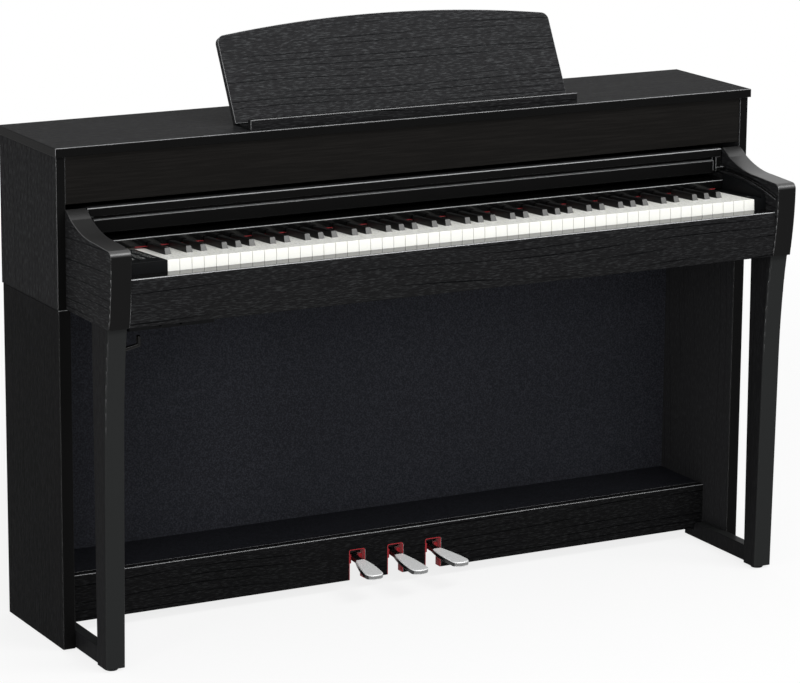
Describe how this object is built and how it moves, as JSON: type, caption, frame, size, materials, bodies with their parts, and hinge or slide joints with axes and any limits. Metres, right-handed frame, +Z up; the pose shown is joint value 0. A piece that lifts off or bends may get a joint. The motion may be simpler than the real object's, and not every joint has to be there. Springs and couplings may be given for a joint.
{
  "type": "digital piano",
  "caption": "Black home digital piano on its own stand: full keyboard between curved arms, sliding key cover, folding music rest, pedal box and front legs.",
  "frame": {"origin": "on the floor, under the middle of the bounding box", "axes": "+X to the right seen from the front, -Y towards the player, +Z up; the music rest stands raised and the key cover is pushed back"},
  "size_m": [1.461, 0.459, 1.1022],
  "materials": {
    "grained_black": "open-pored black wood grain, satin lacquer",
    "satin_black": "smooth black satin lacquer",
    "board_black": "black foil on fibreboard, matt",
    "polished_black": "black, polished",
    "key_white": "off-white, semi gloss with a fine grain",
    "key_black": "matt black, ebony look",
    "felt_red": "crimson felt",
    "block_plastic": "matt black",
    "button_plastic": "black, fine texture",
    "frame_plastic": "dark grey moulding",
    "hook_steel": "gloss black paint",
    "pedal_metal": "nickel-chrome plate, polished",
    "frame_steel": "grey paint",
    "rod_steel": "ground steel",
    "speaker_cone": "black paper cone look",
    "board_green": "green circuit board",
    "supply_case": "grey folded case",
    "socket_plastic": "black moulding"
  },
  "bodies": {
    "cabinet": {"top_board": "grained_black", "upper_side_left": "grained_black", "upper_side_right": "grained_black", "lower_side_left": "grained_black", "lower_side_right": "grained_black", "key_slip": "grained_black", "arm_left": "grained_black", "arm_right": "grained_black", "leg_left": "grained_black", "leg_right": "grained_black", "toe_bar_left": "grained_black", "toe_bar_right": "grained_black", "pedal_rail": "grained_black", "music_ledge": "grained_black", "front_panel": "satin_black", "upper_back": "board_black", "lower_back": "board_black", "key_bed": "board_black", "pedal_shelf": "board_black", "fallboard": "polished_black", "key_felt": "felt_red", "pedal_felt": "felt_red", "block_left": "block_plastic", "block_right": "block_plastic", "jack_box": "block_plastic", "key_frame": "frame_plastic", "foot_glides": "frame_plastic", "headphone_hook": "hook_steel", "pedal_frame": "frame_steel", "key_rod": "rod_steel", "pedal_rod": "rod_steel", "back_screws": "rod_steel", "speakers": "speaker_cone", "circuit_board": "board_green", "contact_board": "board_green", "power_supply": "supply_case", "ac_inlet": "socket_plastic"},
    "cover": {"key_cover": "satin_black", "cover_rail": "satin_black"},
    "rest": {"music_rest": "grained_black"},
    "stays": {"music_stays": "frame_steel"},
    "pedal_left": {"pedal_left": "pedal_metal"},
    "pedal_middle": {"pedal_middle": "pedal_metal"},
    "pedal_right": {"pedal_right": "pedal_metal"},
    "button_a": {"button_a": "button_plastic"},
    "button_b": {"button_b": "button_plastic"},
    "power_button": {"power_button": "button_plastic"},
    "volume_knob": {"volume_knob": "button_plastic"},
    "keys_a": {"keys_a": "key_white"},
    "keys_a_sharp": {"keys_a_sharp": "key_black"},
    "keys_b": {"keys_b": "key_white"},
    "keys_c": {"keys_c": "key_white"},
    "keys_c_sharp": {"keys_c_sharp": "key_black"},
    "keys_d": {"keys_d": "key_white"},
    "keys_d_sharp": {"keys_d_sharp": "key_black"},
    "keys_e": {"keys_e": "key_white"},
    "keys_f": {"keys_f": "key_white"},
    "keys_f_sharp": {"keys_f_sharp": "key_black"},
    "keys_g": {"keys_g": "key_white"},
    "keys_g_sharp": {"keys_g_sharp": "key_black"}
  },
  "joints": [
    {"name": "key_a_press", "type": "hinge", "parent": "cabinet", "child": "keys_a", "pos_m": [0.03, 0.045, 0.715], "axis": [1, 0, 0], "range_deg": [0, 2.5], "stiffness_Nm_per_rad": 8, "springref_deg": -11.46},
    {"name": "key_a_sharp_press", "type": "hinge", "parent": "cabinet", "child": "keys_a_sharp", "pos_m": [0.03, 0.045, 0.715], "axis": [1, 0, 0], "range_deg": [0, 2.5], "stiffness_Nm_per_rad": 8, "springref_deg": -11.46},
    {"name": "key_b_press", "type": "hinge", "parent": "cabinet", "child": "keys_b", "pos_m": [0.03, 0.045, 0.715], "axis": [1, 0, 0], "range_deg": [0, 2.5], "stiffness_Nm_per_rad": 8, "springref_deg": -11.46},
    {"name": "key_c_press", "type": "hinge", "parent": "cabinet", "child": "keys_c", "pos_m": [0.03, 0.045, 0.715], "axis": [1, 0, 0], "range_deg": [0, 2.5], "stiffness_Nm_per_rad": 8, "springref_deg": -11.46},
    {"name": "key_c_sharp_press", "type": "hinge", "parent": "cabinet", "child": "keys_c_sharp", "pos_m": [0.03, 0.045, 0.715], "axis": [1, 0, 0], "range_deg": [0, 2.5], "stiffness_Nm_per_rad": 8, "springref_deg": -11.46},
    {"name": "key_d_press", "type": "hinge", "parent": "cabinet", "child": "keys_d", "pos_m": [0.03, 0.045, 0.715], "axis": [1, 0, 0], "range_deg": [0, 2.5], "stiffness_Nm_per_rad": 8, "springref_deg": -11.46},
    {"name": "key_d_sharp_press", "type": "hinge", "parent": "cabinet", "child": "keys_d_sharp", "pos_m": [0.03, 0.045, 0.715], "axis": [1, 0, 0], "range_deg": [0, 2.5], "stiffness_Nm_per_rad": 8, "springref_deg": -11.46},
    {"name": "key_e_press", "type": "hinge", "parent": "cabinet", "child": "keys_e", "pos_m": [0.03, 0.045, 0.715], "axis": [1, 0, 0], "range_deg": [0, 2.5], "stiffness_Nm_per_rad": 8, "springref_deg": -11.46},
    {"name": "key_f_press", "type": "hinge", "parent": "cabinet", "child": "keys_f", "pos_m": [0.03, 0.045, 0.715], "axis": [1, 0, 0], "range_deg": [0, 2.5], "stiffness_Nm_per_rad": 8, "springref_deg": -11.46},
    {"name": "key_f_sharp_press", "type": "hinge", "parent": "cabinet", "child": "keys_f_sharp", "pos_m": [0.03, 0.045, 0.715], "axis": [1, 0, 0], "range_deg": [0, 2.5], "stiffness_Nm_per_rad": 8, "springref_deg": -11.46},
    {"name": "key_g_press", "type": "hinge", "parent": "cabinet", "child": "keys_g", "pos_m": [0.03, 0.045, 0.715], "axis": [1, 0, 0], "range_deg": [0, 2.5], "stiffness_Nm_per_rad": 8, "springref_deg": -11.46},
    {"name": "key_g_sharp_press", "type": "hinge", "parent": "cabinet", "child": "keys_g_sharp", "pos_m": [0.03, 0.045, 0.715], "axis": [1, 0, 0], "range_deg": [0, 2.5], "stiffness_Nm_per_rad": 8, "springref_deg": -11.46},
    {"name": "cover_slide", "type": "hinge", "parent": "cabinet", "child": "cover", "pos_m": [0, -0.05, 0.175], "axis": [1, 0, 0], "range_deg": [0, 18]},
    {"name": "rest_fold", "type": "hinge", "parent": "cabinet", "child": "rest", "pos_m": [0, 0.035, 0.9326], "axis": [1, 0, 0], "range_deg": [-62, 0]},
    {"name": "stay_fold", "type": "hinge", "parent": "rest", "child": "stays", "pos_m": [0, 0.0735, 1.005], "axis": [1, 0, 0], "range_deg": [0, 124]},
    {"name": "pedal_left_press", "type": "hinge", "parent": "cabinet", "child": "pedal_left", "pos_m": [-0.0813, 0.168, 0.066], "axis": [1, 0, 0], "range_deg": [0, 5.5], "stiffness_Nm_per_rad": 25, "springref_deg": -3.44},
    {"name": "pedal_middle_press", "type": "hinge", "parent": "cabinet", "child": "pedal_middle", "pos_m": [0.0015, 0.168, 0.066], "axis": [1, 0, 0], "range_deg": [0, 5.5], "stiffness_Nm_per_rad": 25, "springref_deg": -3.44},
    {"name": "pedal_right_press", "type": "hinge", "parent": "cabinet", "child": "pedal_right", "pos_m": [0.0843, 0.168, 0.066], "axis": [1, 0, 0], "range_deg": [0, 5.5], "stiffness_Nm_per_rad": 25, "springref_deg": -3.44},
    {"name": "button_a_press", "type": "slide", "parent": "cabinet", "child": "button_a", "axis": [0, -0.0558, -0.9984], "range_m": [0, 0.0012], "stiffness_N_per_m": 300, "springref_m": -0.001},
    {"name": "button_b_press", "type": "slide", "parent": "cabinet", "child": "button_b", "axis": [0, -0.0558, -0.9984], "range_m": [0, 0.0012], "stiffness_N_per_m": 300, "springref_m": -0.001},
    {"name": "power_button_press", "type": "slide", "parent": "cabinet", "child": "power_button", "axis": [0, -0.0558, -0.9984], "range_m": [0, 0.0012], "stiffness_N_per_m": 300, "springref_m": -0.001},
    {"name": "volume_slide", "type": "slide", "parent": "cabinet", "child": "volume_knob", "axis": [0, 0.9984, -0.0558], "range_m": [0, 0.036]}
  ],
  "couplings": [
    {"joint": "stay_fold", "follows": "rest_fold", "ratio": -2}
  ]
}
